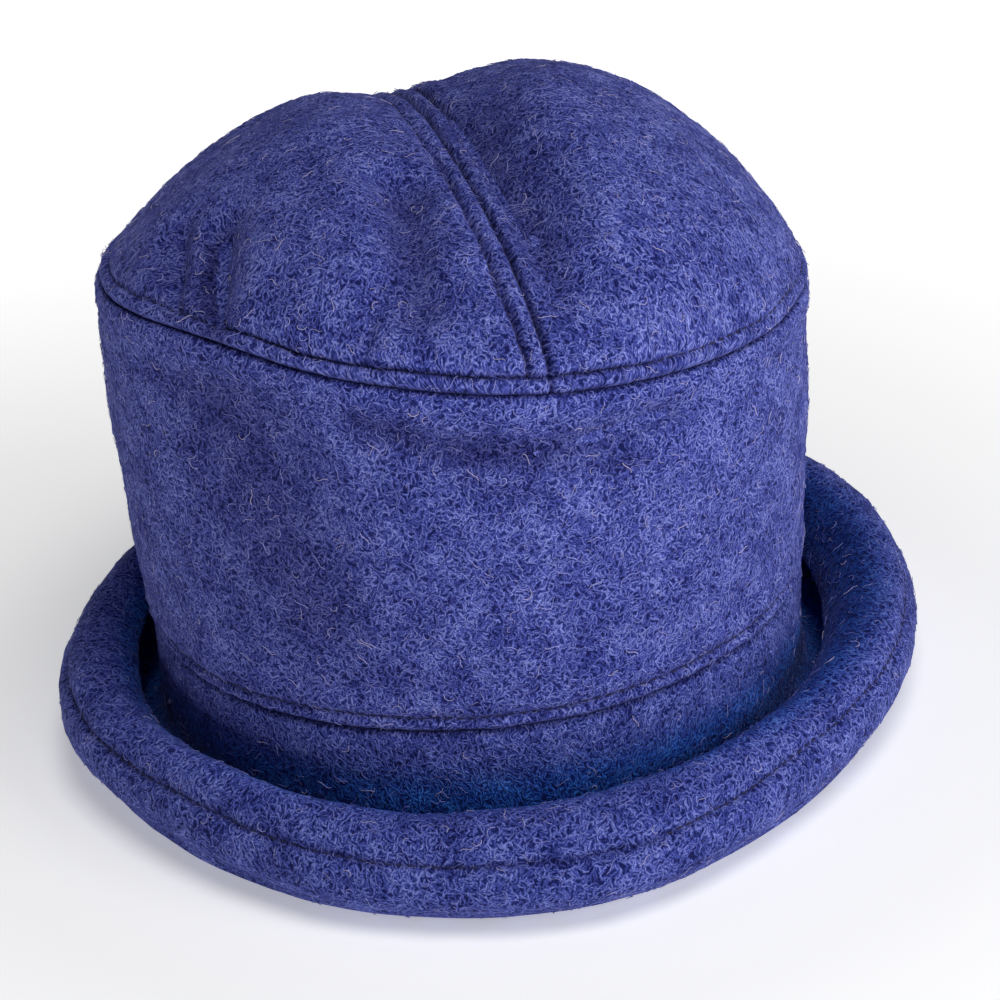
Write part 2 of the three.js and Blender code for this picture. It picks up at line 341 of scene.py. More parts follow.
# Folds run over the band from one angle and height to another.
turned = (station + 180) % 360 - 180
fold_depth = np.zeros_like(band_climb)
for fold in BAND_FOLDS:
    apart = fold_distance(turned, band_base[..., 2], fold, math.radians(1) * BAND_RADIUS)
    folded = fold["depth"] * bell(apart, fold["half_width"])
    fold_depth = np.maximum(fold_depth, folded * smooth(from_top, *FOLDS_START))
band_relief -= fold_depth
band_face = band_base + band_way * band_relief[..., None]
# Painted shade: the band is darkened in its folds, broadly on its left side by the wide fold there,
# and along its seams and row of stitching.
band_painted_shade = fold_depth / DARKEST_FOLD
for shade in along_lines(BAND_SHADES, band_lines, "shade"):
    band_painted_shade = np.maximum(band_painted_shade, shade)

inner_rows = np.linspace(1, 0, BAND_INNER_ROWS + 1)
inner_base = band_surface(station, inner_rows[None, :])
inner_base[:, 0, 2] -= SEAM_GAP / 2
inner_base[:, -1, 2] += SEAM_GAP / 2
inner_way = faces_out(inner_base[:, ::-1], closed=True)[:, ::-1]
inner_way[:, 0] = seam_way(station[:, 0])
inner_way[:, -1] = stand(station[:, 0], 1, 0)
band_inside = inner_base - inner_way * CROWN_FELT
band_loops = np.concatenate([band_face, band_inside], 1)
inside_zero = np.zeros(band_inside.shape[:2])
band_nap = smooth(from_top, *BARE_EDGE) * smooth(band_climb, *BARE_EDGE)
band_along = np.concatenate([band_climb, band_climb[:, -1:] + length_along(band_inside) + 3], 1)
band = mesh_piece("side_band_felt", band_loops.reshape(-1, 3),
                  ring_faces(BAND_STATIONS, band_loops.shape[1]),
                  {"nap": np.concatenate([band_nap, inside_zero], 1),
                   "groove": np.concatenate([band_painted_shade, inside_zero], 1),
                   "depth": np.zeros(band_loops.shape[:2])},
                  ring_corners(band_along, BAND_MAP_RADIUS))
band_stitch_line = line_at(band_face, above_row, 0)
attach(band, "root")
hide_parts("side_band")


# Tip: two half panels of the same felt, seamed from front to back. The seam is pressed open and
# topstitched on both sides, which leaves three grooves in a valley between two puffed halves.
# The tip's rim is topstitched just above its seam with the side band.
TIP_CENTRE_HEIGHT = 141
SEAM_RISE = 36.5
LEFT_RISE = 44
RIGHT_RISE = 51
CLIMB = 0.09
CREST = 10
FALL = 0.12
LEFT_VALLEY = 17
RIGHT_VALLEY = 26
TIP_ROUNDNESS = 2.8
TIP_FOLDS = [
    dict(start=(-76, -51), end=(-66, -20), half_width=6, depth=7.5, crease=3.8),
    dict(start=(-83, -34), end=(-75, -8), half_width=6, depth=4.5, crease=1.8),
    dict(start=(-44, -79), end=(-38, -71), half_width=7, depth=3, crease=1.0),
    dict(start=(-28, -74), end=(-20, -30), half_width=8, depth=6.5, crease=0.0),
]
TOPSTITCH = 5.6
RIM_TOPSTITCH = 4.6
TIP_RIDGES = [
    dict(line="centre", half_width=0.8, height=-1.8),
    dict(line="topstitch", half_width=0.85, height=-1.8),
    dict(line="topstitch", place=4, half_width=3.2, height=1.1),
    dict(line="rim", half_width=SEAM_WIDTH, height=-1.15),
    dict(line="rim_topstitch", half_width=0.7, height=-1.3),
    dict(line="rim_topstitch", place=4, half_width=3, height=0.9),
]
TIP_SHADES = [
    dict(line="centre", half_width=0.75, shade=0.85),
    dict(line="topstitch", half_width=0.75, shade=0.85),
    dict(line="rim", half_width=SEAM_WIDTH, shade=0.55),
    dict(line="rim_topstitch", half_width=0.75, shade=0.8),
]
CENTRE_STRIP_HEIGHT = 1.0
RIM_STRIP_HEIGHT = 0.9
SWELL_X = 27
FLANK_X = 8.5
CREASE_WIDTH = 1.7
SHARPEST_CREASE = 3.8
DARKEST_TIP_FOLD = 11


def tip_height(x, y):
    """Height of the tip's plain surface, with its folds, over any point inside the rim."""
    angle = np.degrees(np.arctan2(x, -y))
    spread = np.minimum(np.hypot(x, y) / around(CROWN, "tip_radius", angle), 1)
    seam_height = around(CROWN, "tip_height", angle)
    plane = TIP_CENTRE_HEIGHT + (seam_height - TIP_CENTRE_HEIGHT) * spread ** 2
    dome = (1 - spread ** TIP_ROUNDNESS) ** (1 / around(CROWN, "shoulder", angle))
    valley = bell(x, np.where(x < 0, LEFT_VALLEY, RIGHT_VALLEY))
    rise = np.where(x < 0, LEFT_RISE, RIGHT_RISE)
    puff = rise + (SEAM_RISE - rise) * valley + CLIMB * y - FALL * np.maximum(y - CREST, 0)
    folds = sum(fold["depth"] * bell(fold_distance(x, y, fold), fold["half_width"])
                for fold in TIP_FOLDS)
    return plane + puff * dome - folds * (1 - spread ** 8)


# Distance from the rim, measured over the felt along each radius, as a table to read from.
RIM_TABLE_STEPS = 240
rim_angle = np.linspace(0, 360, 361)[:, None]
rim_root = np.linspace(0, 1, RIM_TABLE_STEPS + 1)[None, :]
rim_radius = around(CROWN, "tip_radius", rim_angle) * (1 - rim_root ** 2)
rim_line = stand(rim_angle, rim_radius, 0.0)
rim_line[..., 2] = tip_height(rim_line[..., 0], rim_line[..., 1])
rim_length = length_along(rim_line)


def from_rim(x, y):
    """Distance from the rim over the felt, read from the table."""
    angle = np.degrees(np.arctan2(x, -y)) % 360
    spread = np.minimum(np.hypot(x, y) / around(CROWN, "tip_radius", angle), 1)
    column = np.sqrt(1 - spread) * RIM_TABLE_STEPS
    row, low = angle.astype(int), np.minimum(column.astype(int), RIM_TABLE_STEPS - 1)
    t, s = angle - row, column - low
    first = rim_length[row, low] * (1 - s) + rim_length[row, low + 1] * s
    second = rim_length[row + 1, low] * (1 - s) + rim_length[row + 1, low + 1] * s
    return first * (1 - t) + second * t


TIP_ROWS = 300
TIP_COLUMNS = 118
TIP_INNER_COLUMNS = 18
PROFILE_SAMPLES = 801
JUST_INSIDE = 0.995
RIM_BLEND = 2.0
CENTRE_BLEND = 1.5


def tip_grid(side, columns):
    """Plan and height of one half: rows across it, from the centre seam out to the rim."""
    angle = side * np.linspace(0, 180, TIP_ROWS + 1)[:, None]
    edge = stand(angle, around(CROWN, "tip_radius", angle), 0.0)
    x = edge[..., 0] * columns[None, :]
    y = edge[..., 1] * np.ones_like(columns)[None, :]
    points = np.stack([x, y, tip_height(x, y)], -1)
    points[..., 0] = side * np.maximum(side * points[..., 0], 0)
    # Slopes are read just inside the rim, because the felt stands upright at it.
    step = 0.5
    near_x, near_y = x * JUST_INSIDE, y * JUST_INSIDE
    slope_x = tip_height(near_x + step, near_y) - tip_height(near_x - step, near_y)
    slope_y = tip_height(near_x, near_y + step) - tip_height(near_x, near_y - step)
    way = unit(np.stack([-slope_x, -slope_y, np.full_like(slope_x, 2 * step)], -1))
    rim = from_rim(x, y)
    rim_share = np.exp(-rim / RIM_BLEND)[..., None]
    way = unit(way * (1 - rim_share) + seam_way(angle) * rim_share)
    way[..., 0] *= 1 - np.exp(-np.abs(x) / CENTRE_BLEND)
    way = unit(way)
    last = (rim < 1e-6) | (np.arange(TIP_ROWS + 1)[:, None] % TIP_ROWS == 0)
    points[..., 2] += np.where(last, SEAM_GAP / 2, 0)
    return points, way, rim


def tip_relief(points, rim, side):
    """How far the felt stands off its plain surface, how much painted shade it takes in seams,
    creases and shaded slopes, and its distances from the centre seam and the rim as the wavering
    stitches keep them."""
    x, y = points[..., 0], points[..., 1]
    angle = np.degrees(np.arctan2(x, -y)) % 360
    stray = waver(points)
    away = np.abs(x) + stray * smooth(np.abs(x), 1, 4)
    stitched_rim = rim + waver(points + 50) * smooth(rim, 1, 3.5)
    clear_of_rim = smooth(rim, 2.5, 7)

    # Each seam and row of stitching is pulled tighter in some stretches than in others.
    if side < 0:
        tight = 1 - 0.7 * smooth(y, -25, 10)
    else:
        tight = 0.1 + smooth(y, -62, -30)
    at_right = angle < 180
    rim_tight = 0.5 + 0.6 * smooth(np.abs(angle - 180), 95, 150)
    lines = {"centre": (away, 1),
             "topstitch": (away - TOPSTITCH, tight * clear_of_rim),
             "rim": (rim, 1 - 0.5 * smooth(angle, 8, 40) * at_right),
             "rim_topstitch": (stitched_rim - RIM_TOPSTITCH,
                               rim_tight * (1 - 0.75 * smooth(angle, 4, 34) * at_right))}
    relief = soft_felt(points)
    for ridge in along_lines(TIP_RIDGES, lines, "height"):
        relief += ridge
    # Painted shade along the seams and rows of stitching.
    groove = np.zeros_like(relief)
    for shade in along_lines(TIP_SHADES, lines, "shade"):
        groove = np.maximum(groove, shade)

    # The strips of felt between a seam and its topstitching are rounded.
    centre_strip = np.sin(np.pi * np.clip(away / TOPSTITCH, 0, 1))
    rim_strip = np.sin(np.pi * np.clip(stitched_rim / RIM_TOPSTITCH, 0, 1))
    relief += CENTRE_STRIP_HEIGHT * centre_strip * clear_of_rim + RIM_STRIP_HEIGHT * rim_strip
    if side > 0:
        # The right half swells up steeply beside the seam, and its flank is painted darker as
        # shade.
        swell = smooth(-y, -30, 5) * smooth(y, -88, -60)
        relief += swell * (3.5 * bell(x - SWELL_X, 10) - 2.5 * bell(x - FLANK_X, 5))
        groove = np.maximum(groove, 0.6 * swell * bell(x - FLANK_X, 4.8))
    for fold in TIP_FOLDS:
        apart = fold_distance(x + 2 * stray, y, fold)
        crease = bell(apart, CREASE_WIDTH) * clear_of_rim
        relief -= fold["crease"] * crease
        # The felt beside a sharp crease, on its left, is painted darker as shade.
        shaded = bell(fold_distance(x + 3 + 2 * stray, y, fold), 3.5) * clear_of_rim
        sharpness = min(fold["crease"] / SHARPEST_CREASE, 1)
        groove = np.maximum(groove, sharpness * np.maximum(crease, shaded))
        # Each fold is painted darker along its line, more so the deeper it is: painted shade.
        shade = fold["depth"] / DARKEST_TIP_FOLD * bell(apart, 0.9 * fold["half_width"])
        groove = np.maximum(groove, shade)
    near_seam = np.exp(-rim / 6) + np.exp(-away / 6) * clear_of_rim
    relief += (0.4 * lumps(points, **PUCKERS) + 0.25 * lumps(points, **FINE_PUCKERS)) * near_seam
    return relief, groove, away, stitched_rim


def tip_half(name, side):
    """One half of the tip as a closed piece, and the lines that its stitching follows."""
    # Columns are even over the felt of the middle row, and close together near the two seams.
    spread = np.sin(np.linspace(0, np.pi / 2, PROFILE_SAMPLES))
    reach = spread * BACK_TIP_RADIUS
    profile = np.stack([reach, tip_height(side * reach, 0 * reach)], -1)[None]
    felt_length = length_along(profile)[0]
    even = crowd(TIP_COLUMNS, (0.03, 0.985), 0.05, 2.2)
    columns = np.interp(even * felt_length[-1], felt_length, spread)
    points, way, rim = tip_grid(side, columns)
    relief, groove, away, stitched_rim = tip_relief(points, rim, side)
    face = points + way * relief[..., None]
    inner_columns = np.sin(np.linspace(0, np.pi / 2, TIP_INNER_COLUMNS + 1)) ** 1.4
    inner_points, inner_way, _ = tip_grid(side, inner_columns)
    inside = inner_points - inner_way * CROWN_FELT
    # The halves touch at the centre, so no light shows through the seam.
    for layer in (face, inside):
        layer[..., 0] = side * np.maximum(side * layer[..., 0], 0)
    outer_count = TIP_COLUMNS + 1
    inner_count = TIP_INNER_COLUMNS + 1
    first_inner = (TIP_ROWS + 1) * outer_count

    def at(layer, i, j):
        j = 0 if i in (0, TIP_ROWS) else j
        return i * outer_count + j if layer == 0 else first_inner + i * inner_count + j

    faces = []

    def add(*corners):
        corners = list(dict.fromkeys(corners))
        if len(corners) > 2:
            faces.append(corners if side > 0 else corners[::-1])

    for i in range(TIP_ROWS):
        for j in range(TIP_COLUMNS):
            add(at(0, i, j), at(0, i, j + 1), at(0, i + 1, j + 1), at(0, i + 1, j))
        for j in range(TIP_INNER_COLUMNS):
            add(at(1, i, j), at(1, i + 1, j), at(1, i + 1, j + 1), at(1, i, j + 1))
        add(at(0, i, 0), at(0, i + 1, 0), at(1, i + 1, 0), at(1, i, 0))
        last, inner_last = TIP_COLUMNS, TIP_INNER_COLUMNS
        add(at(0, i, last), at(1, i, inner_last), at(1, i + 1, inner_last), at(0, i + 1, last))
    vertices = np.concatenate([face.reshape(-1, 3), inside.reshape(-1, 3)])
    inside_zero = np.zeros(inside[..., 0].size)
    nap = smooth(away, 0.8, 2.5) * smooth(rim, *BARE_EDGE)
    marks = {"nap": nap, "groove": groove, "depth": np.zeros_like(nap)}
    marks = {mark: np.concatenate([values.reshape(-1), inside_zero])
             for mark, values in marks.items()}
    centre_line = length_along(points[None, :, 0])[0]
    down = np.broadcast_to(centre_line[:, None], rim.shape)
    flat = np.stack([side * length_along(points), down], -1).reshape(-1, 2)
    flat = np.concatenate([flat, inner_points[..., :2].reshape(-1, 2)])
    used = np.unique([corner for corners in faces for corner in corners])
    renumber = np.full(len(vertices), -1)
    renumber[used] = np.arange(len(used))
    corners = flat[[corner for corners in faces for corner in corners]]
    faces = [[int(renumber[corner]) for corner in corners] for corners in faces]
    piece = mesh_piece(name, vertices[used], faces,
                       {mark: values[used] for mark, values in marks.items()}, corners)
    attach(piece, "root")
    # On the right half no thread shows in the front third of the row beside the centre seam.
    middle = slice(TIP_ROWS // 20, -TIP_ROWS // 20)
    deep = middle if side < 0 else slice(TIP_ROWS // 3, -TIP_ROWS // 20)
    lines = [line_at(face[deep], away[deep], TOPSTITCH),
             line_at(face[middle], stitched_rim[middle], RIM_TOPSTITCH)]
    return piece, lines


tip_left, left_stitch_lines = tip_half("tip_left_felt", -1)
tip_right, right_stitch_lines = tip_half("tip_right_felt", 1)
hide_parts("tip_left")
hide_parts("tip_right")


# Brim: two plies of the felt, sewn to the foot of the side band. It drops as a collar, turns out,
# lies on the table and rolls up and over, and its folded edge is tucked down inside. One row of
# stitching runs round the roll.
BRIM_FELT = 3
FOLD_HEIGHT = 15
ROLL_TOP = 27.4
TUCK_FOLLOWS = 0.3
BRIM_SECTION = [
    dict(stretch="collar", length=29.35, steps=15),
    dict(stretch="heel", radius=13, turn=90, steps=9),
    dict(stretch="rest", length=5.5, steps=2),
    dict(stretch="rise", radius=12, turn=50, steps=7),
    dict(stretch="slope", length=4.5, steps=4),
    dict(stretch="fold", radius=8, turn=70, steps=13),
    dict(stretch="curl", radius=26, turn=20, steps=11),
    dict(stretch="tuck", radius=9, turn=95, steps=18),
]
# The roll's form, one value every 30 degrees round the hat from its front.
BRIM_ROLL = {
    "top": [29, 28.2, 30.4, 34.4, 36.6, 36.8, 37.3, 35.5, 31.2, 29, 28.6, 28],
    "reach": [3.2, -4.8, -1, 4.8, 6, 2, 0.5, 0, -0.6, -2.2, -6, -0.3],
    "lift": [0, 0, 1.5, 3, 2.5, 0.5, 0, 0, 1, 3, 2, 0],
}
SLUMP_FROM = 28
SLUMP_IN = 0.22
SLUMP_DOWN = 0.55
BRIM_STATIONS = 500
BRIM_MAP_RADIUS = 112
OUTER_ROLL_FROM = 60
ROLL_MIDDLE = 75
BEYOND_ROLL = 99
ROLL_STITCH_HEIGHT = 22.5
FRONT_ROLL_TOP = 29
LOWEST_STITCH = 12
STITCHED_OVERHANG = 24


def brim_lean(angle):
    """How far the roll's inner side slumps into a slope, most at the right, less at the left."""
    return bell(angle - 84, 44) + 0.5 * bell(angle - 272, 34)


def brim_lines(angle):
    """Middle of the brim's felt, as radius and height at each angle, from the seam to the edge."""
    place = np.array([0.0, HEAD_SEAM_HEIGHT - SEAM_GAP / 2])
    heading = -math.pi / 2
    walk = [place.copy()]
    for stretch in BRIM_SECTION:
        bend = math.radians(stretch.get("turn", 0)) / stretch["steps"]
        chord = 2 * stretch.get("radius", 0) * math.sin(bend / 2)
        chord += stretch.get("length", 0) / stretch["steps"]
        for _ in range(stretch["steps"]):
            course = heading + bend / 2
            place = place + chord * np.array([math.cos(course), math.sin(course)])
            heading += bend
            walk.append(place.copy())
    x, y = np.array(walk).T
    rolled = np.maximum.accumulate((y > FOLD_HEIGHT) & (x > 20))
    top, reach, lift = (around(BRIM_ROLL, name, angle) for name in ("top", "reach", "lift"))
    stretch = (top - FOLD_HEIGHT) / (ROLL_TOP - FOLD_HEIGHT)
    height = np.where(rolled, FOLD_HEIGHT + (y - FOLD_HEIGHT) * stretch + lift,
                      y + lift * smooth(x, 2, 20))
    share = np.where(rolled, TUCK_FOLLOWS + (1 - TUCK_FOLLOWS) * smooth(x, 12, 28),
                     smooth(x, 20, 30))
    seam_radius = around(CROWN, "head", angle) - BRIM_FELT / 2
    slump = np.maximum(SLUMP_FROM - x, 0) * rolled * brim_lean(angle)
    return np.stack([seam_radius + x + reach * share - SLUMP_IN * slump,
                     height - SLUMP_DOWN * slump], -1)


brim_station = np.arange(BRIM_STATIONS)[:, None] * 360 / BRIM_STATIONS
line = brim_lines(brim_station)
along = np.gradient(line, axis=1)
along[:, 0] = (0, -1)
along = unit(along)
under_way = np.stack([along[..., 1], -along[..., 0]], -1)
line_length = length_along(line)

# The edge is the fold of the two plies, a soft half round. The side that lies on the table comes
# round to be the outside of the roll.
EDGE_STEPS = 7
turns = np.linspace(0, np.pi, EDGE_STEPS + 2)[1:-1]
end, end_along, end_under = line[:, -1:], along[:, -1:], under_way[:, -1:]
half = BRIM_FELT / 2
edge_round = (end + half * (end_under * np.cos(turns)[None, :, None]
                            + end_along * np.sin(turns)[None, :, None]))
section = np.concatenate([line + half * under_way, edge_round,
                          (line - half * under_way)[:, ::-1]], 1)
brim_way = np.concatenate([under_way, unit(edge_round - end), -under_way[:, ::-1]], 1)
brim_base = stand(brim_station, section[..., 0], section[..., 1])
brim_out = stand(brim_station, brim_way[..., 0], brim_way[..., 1])
edge_zero = np.zeros((BRIM_STATIONS, EDGE_STEPS))
seam_distance = np.concatenate([line_length, edge_zero + BEYOND_ROLL, line_length[:, ::-1]], 1)
side_of = np.concatenate([np.ones_like(line_length), edge_zero, -np.ones_like(line_length)], 1)
on_crown_side = side_of < 0
outer_roll = (side_of > 0) & (seam_distance > OUTER_ROLL_FROM)

# The row of stitching follows the roll's height round the hat, and is looser at the right.
roll_top, roll_reach, roll_lift = (around(BRIM_ROLL, name, brim_station)
                                   for name in ("top", "reach", "lift"))
above_stitch = brim_base[..., 2] - roll_lift - ROLL_STITCH_HEIGHT
above_stitch = above_stitch - 0.25 * (roll_top - FRONT_ROLL_TOP) + waver(brim_base)
outer_radius = around(CROWN, "head", brim_station) + roll_reach
stitched = outer_roll & (brim_base[..., 2] > LOWEST_STITCH)
stitched &= section[..., 0] > outer_radius + STITCHED_OVERHANG
turned_brim = (brim_station + 180) % 360 - 180
line_strength = 1 - 0.65 * smooth(turned_brim, 8, 40) * smooth(-turned_brim, -180, -120)
roll_relief = (-1.1 * line_strength * bell(above_stitch, 0.8)
               + 0.5 * bell(np.abs(above_stitch) - 3.5, 2.5)
               + 0.3 * lumps(brim_base, **PUCKERS) * np.exp(-np.abs(above_stitch) / 5))
collar_relief = (-1.1 * bell(seam_distance, SEAM_WIDTH)
                 + 0.4 * lumps(brim_base, 4, 3.0) * np.exp(-seam_distance / 4))
brim_relief = soft_felt(brim_base) * smooth(seam_distance, 0, 6)
brim_relief += np.where(stitched, roll_relief, 0) + np.where(on_crown_side, collar_relief, 0)
brim_relief *= smooth(brim_base[..., 2], 0.5, 6)
brim_face = brim_base + brim_out * brim_relief[..., None]
TOUCH = 0.1
brim_face[..., 2] = np.where(brim_face[..., 2] < TOUCH, 0, brim_face[..., 2])
# Painted shade along the roll's row of stitching and the collar's seam.
roll_painted_shade = 0.8 * line_strength * bell(above_stitch, 0.75)
brim_painted_shade = np.where(on_crown_side, 0.6 * bell(seam_distance, SEAM_WIDTH), 0)
brim_painted_shade = np.maximum(brim_painted_shade, np.where(stitched, roll_painted_shade, 0))
brim_nap = np.where(on_crown_side | (seam_distance > OUTER_ROLL_FROM), 1.0, 0.0)
brim_nap *= smooth(brim_base[..., 2], 1.5, 4) * smooth(seam_distance, *BARE_EDGE)

# Painted shade: deep in the roll the felt is painted a darker, purer blue, and at the right the
# slope into it is painted darker as well.
hollow = np.where(on_crown_side, smooth(seam_distance, 7, 20), 0)
hollow = np.where(side_of == 0, 1.0, hollow)
leaning = brim_lean(brim_station) * (brim_station < 180)
crest = line_length[:, -1:] - 10 - 19 * leaning
inner_flank_shade = np.where(outer_roll, smooth(seam_distance, crest, crest + 8 + 8 * leaning), 0)
hollow = np.maximum(hollow, inner_flank_shade)
brim_painted_shade = np.maximum(brim_painted_shade, 0.85 * leaning * inner_flank_shade)
brim_along = np.concatenate([line_length, line_length[:, -1:] + np.linspace(0.5, 4, EDGE_STEPS),
                             2 * line_length[:, -1:] + 5 - line_length[:, ::-1]], 1)
brim = mesh_piece("brim_felt", brim_face.reshape(-1, 3),
                  ring_faces(BRIM_STATIONS, brim_face.shape[1]),
                  {"nap": brim_nap, "groove": brim_painted_shade, "depth": hollow},
                  ring_corners(brim_along, BRIM_MAP_RADIUS))
off_row = np.where(seam_distance < ROLL_MIDDLE, -20, 20)
roll_line = line_at(np.where(stitched[..., None], brim_face, 0),
                    np.where(stitched, above_stitch, off_row), 0.0)
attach(brim, "root")
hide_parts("brim")


# Felt's finish: a mat of short curly strands of wool in several blues. Their colour is painted
# darker in the gaps and paler on the highest strands, as painted shade and highlight, over tone
# that differs at random. The strands are drawn on the cloth's own map, in millimetres.
class Signal:
    """One output among nodes. Arithmetic on it adds Math nodes."""

    def __init__(self, tree, socket):
        self.tree = tree
        self.socket = socket

    def node(self, kind, settings=None, inputs=None, output=0):
        made = self.tree.nodes.new(kind)
        for name, value in (settings or {}).items():
            if name == "stops":
                ramp = made.color_ramp
                while len(ramp.elements) < len(value):
                    ramp.elements.new(0.5)
                for element, stop in zip(ramp.elements, value):
                    element.position, element.color = stop
            else:
                setattr(made, name, value)
        feed(made, inputs or {})
        return Signal(self.tree, made.outputs[output]) if made.outputs else None

    def output(self, name):
        """Another output of the same node."""
        return Signal(self.tree, self.socket.node.outputs[name])

    def math(self, operation, first, second=0.0, clamp=False):
        return self.node("ShaderNodeMath", {"operation": operation, "use_clamp": clamp},
                         {0: first, 1: second})

    def __add__(self, other):
        return self.math("ADD", self, other)

    def __radd__(self, other):
        return self.math("ADD", other, self)

    def __sub__(self, other):
        return self.math("SUBTRACT", self, other)

    def __rsub__(self, other):
        return self.math("SUBTRACT", other, self)

    def __mul__(self, other):
        return self.math("MULTIPLY", self, other)

    def __rmul__(self, other):
        return self.math("MULTIPLY", other, self)

    def __truediv__(self, other):
        return self.math("DIVIDE", self, other)

    def __abs__(self):
        return self.math("ABSOLUTE", self)

    def vector(self, operation, first, second):
        return self.node("ShaderNodeVectorMath", {"operation": operation}, {0: first, 1: second})


def feed(node, inputs):
    """Sets some of a node's inputs, by a link where the value is a signal."""
    for name, value in inputs.items():
        if isinstance(value, Signal):
            value.tree.links.new(value.socket, node.inputs[name])
        else:
            node.inputs[name].default_value = value


def new_material(name):
    """A material, a start for the signals in its nodes, and its shader."""
    material = bpy.data.materials.new(name)
    material.use_nodes = True
    tree = material.node_tree
    return material, Signal(tree, None), tree.nodes["Principled BSDF"]


def colour(red, green, blue):
    """A screen colour of 0 to 255 as the linear value that a shader takes."""
    def linear(value):
        value /= 255
        return value / 12.92 if value <= 0.04045 else ((value + 0.055) / 1.055) ** 2.4
    return (linear(red), linear(green), linear(blue), 1.0)


# Colours that multiply the felt's colour where shade is painted: in seams, creases and shaded
# slopes, and deep in the brim's roll.
SEAM_SHADE = colour(150, 145, 165)
DEEP_SHADE = colour(118, 224, 255)
STRAND_LAYERS = [
    dict(cell=1.8, length=2.6, half_width=0.48, shift=0.0),
    dict(cell=2.1, length=3.2, half_width=0.46, shift=31.7),
    dict(cell=1.5, length=2.2, half_width=0.43, shift=67.1),
    dict(cell=2.7, length=4.2, half_width=0.48, shift=113.3),
]


def felt_material(name, gap, body, pale):
    """Felt in three blues: a painted shade in the gaps of the mat, its body, and a painted
    highlight at its pale tips.
    """
    material, start, shader = new_material(name)
    cloth = start.node("ShaderNodeUVMap", {"uv_map": "felt"})
    flat = {"noise_dimensions": "2D"}
    wander = start.node("ShaderNodeTexNoise", flat, {"Vector": cloth, "Scale": 0.4, "Detail": 1.0},
                        output="Color")
    wander = start.vector("SUBTRACT", wander, (0.5, 0.5, 0.5))
    wander = start.node("ShaderNodeVectorMath", {"operation": "SCALE"}, {0: wander, "Scale": 1.6})
    bent = start.vector("ADD", cloth, wander)

    def strands(cell, length, half_width, shift):
        """A layer of strands, one in each cell: how high it stands, with its own tone in it."""
        moved = start.vector("ADD", bent, (shift, -1.7 * shift, 0))
        centre = start.node("ShaderNodeTexVoronoi", {"voronoi_dimensions": "2D"},
                            {"Vector": moved, "Scale": 1 / cell}, output="Position")
        luck = start.node("ShaderNodeSeparateColor", None, {"Color": centre.output("Color")})
        offset = start.vector("SUBTRACT", moved, centre)
        turned = start.node("ShaderNodeVectorRotate", {"rotation_type": "Z_AXIS"},
                            {"Vector": offset, "Angle": luck * math.tau})
        lie = start.node("ShaderNodeSeparateXYZ", None, {"Vector": turned})
        bowed = lie.output("Y") + (luck.output("Green") - 0.5) * 1.1 * lie * lie
        thread = start.math("SUBTRACT", 1.0, abs(bowed) / half_width, clamp=True)
        ends = start.math("MULTIPLY", length / 2 - abs(lie), 4.0, clamp=True)
        return thread * ends * (luck.output("Blue") * 0.6 + 0.4)

    first, second, third, fourth = (strands(**layer) for layer in STRAND_LAYERS)
    raised = start.math("MAXIMUM", first, second)
    tangle = start.math("MAXIMUM", start.math("MAXIMUM", third, fourth), raised)
    grain = start.node("ShaderNodeTexNoise", flat, {"Vector": cloth, "Scale": 2.2, "Detail": 1.0})
    patches = start.node("ShaderNodeTexNoise", flat,
                         {"Vector": cloth, "Scale": 0.09, "Detail": 3.0})
    # The higher a strand stands, the paler it is painted, and the gaps darker: painted highlight
    # and shade, with random tone from grain and patches.
    tone = tangle * 0.9 + (grain - 0.5) * 0.8 + (patches - 0.5) * 0.6 + 0.03
    base = start.node("ShaderNodeValToRGB", {"stops": [(0.0, gap), (0.45, body), (1.0, pale)]},
                      {"Fac": tone})
    # Painted shade, read from the pieces: darker and bluer deep in the brim's roll, darker in
    # seams, creases and shaded slopes.
    groove = start.node("ShaderNodeAttribute", {"attribute_name": "groove"}, output="Fac")
    depth = start.node("ShaderNodeAttribute", {"attribute_name": "depth"}, output="Fac")
    shade = {"data_type": "RGBA", "blend_type": "MULTIPLY"}
    base = start.node("ShaderNodeMix", shade, {0: depth, 6: base, 7: DEEP_SHADE}, output=2)
    base = start.node("ShaderNodeMix", shade, {0: groove, 6: base, 7: SEAM_SHADE}, output=2)
    bump = start.node("ShaderNodeBump", None,
                      {"Height": raised, "Strength": 0.7, "Distance": 0.0005})
    feed(shader, {"Base Color": base, "Normal": bump, "Roughness": 0.95,
                  "Specular IOR Level": 0.15, "Sheen Weight": 0.2, "Sheen Roughness": 0.4,
                  "Sheen Tint": colour(150, 150, 205)})
    return material


crown_felt = felt_material("crown_felt", gap=colour(20, 25, 86), body=colour(70, 79, 168),
                           pale=colour(148, 157, 230))
brim_felt = felt_material("brim_felt", gap=colour(16, 23, 82), body=colour(65, 76, 164),
                          pale=colour(140, 151, 228))
for piece in (band, tip_left, tip_right):
    piece.data.materials.append(crown_felt)
brim.data.materials.append(brim_felt)


# Topstitching: single dark thread, sunk into the felt along each row that shows. A stitch is a
# thin grain of thread, and they follow each other with short gaps.
def run_nodes(name, mesh, tree, values):
    """An object made by running a node group over a mesh, kept as a plain mesh."""
    maker = new_object(name, mesh)
    modifier = maker.modifiers.new("make", "NODES")
    modifier.node_group = tree
    for item in tree.interface.items_tree:
        if item.name in values:
            modifier[item.identifier] = values[item.name]
    made = bpy.data.meshes.new_from_object(
        maker.evaluated_get(bpy.context.evaluated_depsgraph_get()))
    maker.modifiers.clear()
    maker.data = made
    return maker


def node_group(name, inputs):
    """A geometry node group with named inputs. It gives the group's input node as a signal."""
    tree = bpy.data.node_groups.new(name, "GeometryNodeTree")
    tree.interface.new_socket("Geometry", in_out="INPUT", socket_type="NodeSocketGeometry")
    for label, kind in inputs.items():
        tree.interface.new_socket(label, in_out="INPUT", socket_type="NodeSocket" + kind)
    tree.interface.new_socket("Geometry", in_out="OUTPUT", socket_type="NodeSocketGeometry")
    return tree, Signal(tree, None).node("NodeGroupInput")


